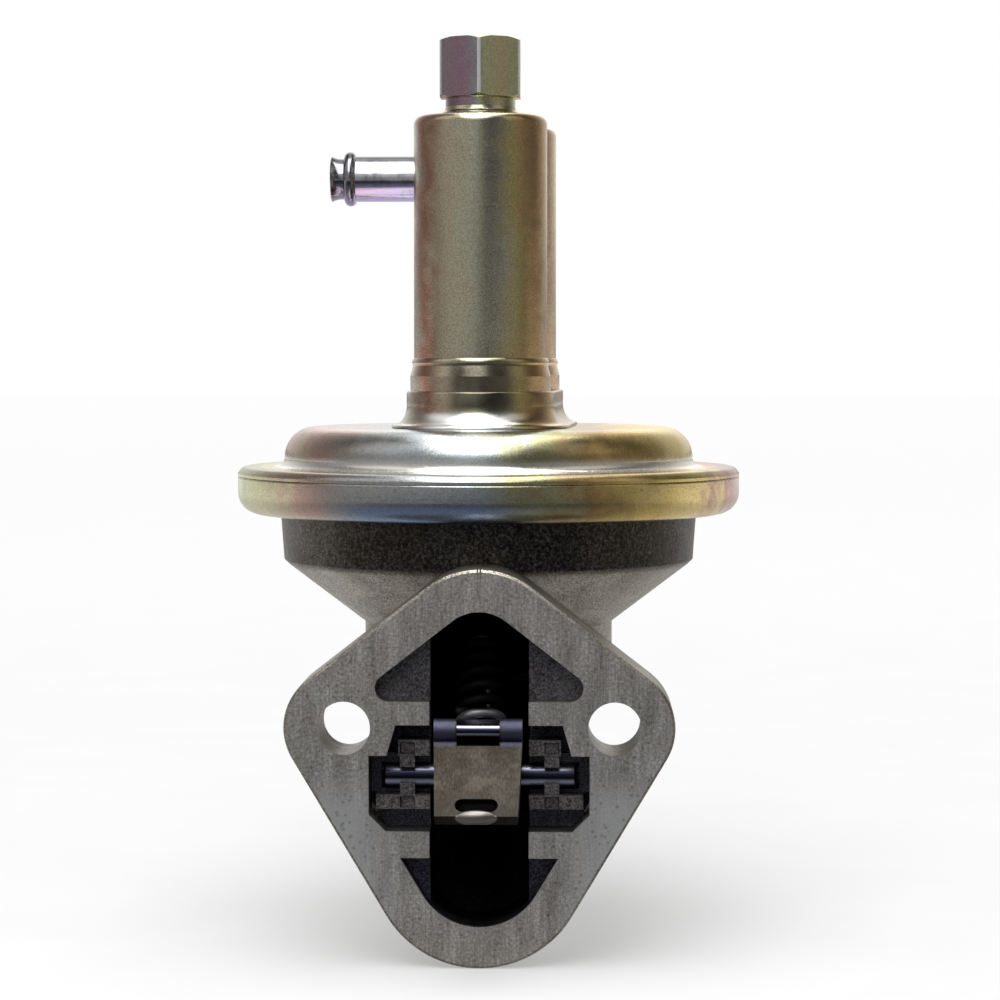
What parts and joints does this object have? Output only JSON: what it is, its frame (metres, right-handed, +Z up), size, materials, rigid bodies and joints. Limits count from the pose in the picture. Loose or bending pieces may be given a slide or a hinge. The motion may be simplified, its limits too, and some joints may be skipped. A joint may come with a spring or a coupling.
{
  "type": "mechanical fuel pump",
  "caption": "Mechanical diaphragm fuel pump: cast flange body with rocker arm, crimped steel cover, twin canisters, hex outlet fitting and side hose nipple.",
  "frame": {"origin": "midway between the two bolt holes, on the machined flange face", "axes": "+X along the bolt row, +Y from the engine block into the pump, +Z up along the canisters"},
  "size_m": [0.1028, 0.1245, 0.1778],
  "materials": {
    "cast_alloy": "die-cast, dark, with a machined flange face",
    "zinc_plated_steel": "yellow chromate zinc plate",
    "bright_plated_steel": "bright zinc plate",
    "brass_gauze": "fine woven gauze",
    "gasket_fibre": "pressed fibre",
    "die_cast_zinc": "as cast",
    "nitrile_rubber": "matt",
    "spring_steel": "drawn wire",
    "hardened_steel": "hardened and ground",
    "pressed_steel": "oiled pressed steel"
  },
  "bodies": {
    "housing": {"lower_body": "cast_alloy", "upper_cover": "zinc_plated_steel", "canister_collar": "zinc_plated_steel", "outlet_canister": "zinc_plated_steel", "inlet_canister": "zinc_plated_steel", "outlet_fitting": "zinc_plated_steel", "inlet_nipple": "bright_plated_steel", "strainer": "brass_gauze", "valve_gasket": "gasket_fibre", "valve_plate": "die_cast_zinc", "outlet_valve_cage": "die_cast_zinc", "outlet_valve_spring": "spring_steel", "inlet_valve_cage": "die_cast_zinc", "inlet_valve_spring": "spring_steel", "diaphragm": "nitrile_rubber", "oil_seal": "nitrile_rubber", "seal_retainer": "zinc_plated_steel", "diaphragm_spring": "spring_steel", "pivot_pin": "hardened_steel", "arm_spring": "spring_steel"},
    "rocker": {"rocker_arm": "pressed_steel", "spring_seat": "hardened_steel"},
    "link": {"link_lever": "pressed_steel"},
    "rod": {"pull_rod": "bright_plated_steel", "upper_plate": "zinc_plated_steel", "lower_plate": "zinc_plated_steel"},
    "outlet_valve": {"outlet_valve_disc": "nitrile_rubber"},
    "inlet_valve": {"inlet_valve_disc": "nitrile_rubber"}
  },
  "joints": [
    {"name": "rocker_pivot", "type": "hinge", "parent": "housing", "child": "rocker", "pos_m": [0, 0.0065, -0.0097], "axis": [-1, 0, 0], "range_deg": [0, 6], "deforming": ["arm_spring"]},
    {"name": "link_pivot", "type": "hinge", "parent": "housing", "child": "link", "pos_m": [0, 0.0065, -0.0097], "axis": [-1, 0, 0], "range_deg": [0, 6.5]},
    {"name": "rod_slide", "type": "slide", "parent": "housing", "child": "rod", "axis": [0, 0, -1], "range_m": [0, 0.0052], "stiffness_N_per_m": 900, "springref_m": -0.008, "deforming": ["diaphragm_spring", "diaphragm"]},
    {"name": "outlet_valve_lift", "type": "slide", "parent": "housing", "child": "outlet_valve", "axis": [0, 0, 1], "range_m": [0, 0.0015], "stiffness_N_per_m": 20, "springref_m": -0.002, "deforming": ["outlet_valve_spring"]},
    {"name": "inlet_valve_lift", "type": "slide", "parent": "housing", "child": "inlet_valve", "axis": [0, 0, -1], "range_m": [0, 0.0015], "stiffness_N_per_m": 20, "springref_m": -0.002, "deforming": ["inlet_valve_spring"]}
  ],
  "couplings": [
    {"joint": "rocker_pivot", "follows": "rod_slide", "rad_per_m": 19.8},
    {"joint": "link_pivot", "follows": "rod_slide", "rad_per_m": 19.8}
  ]
}
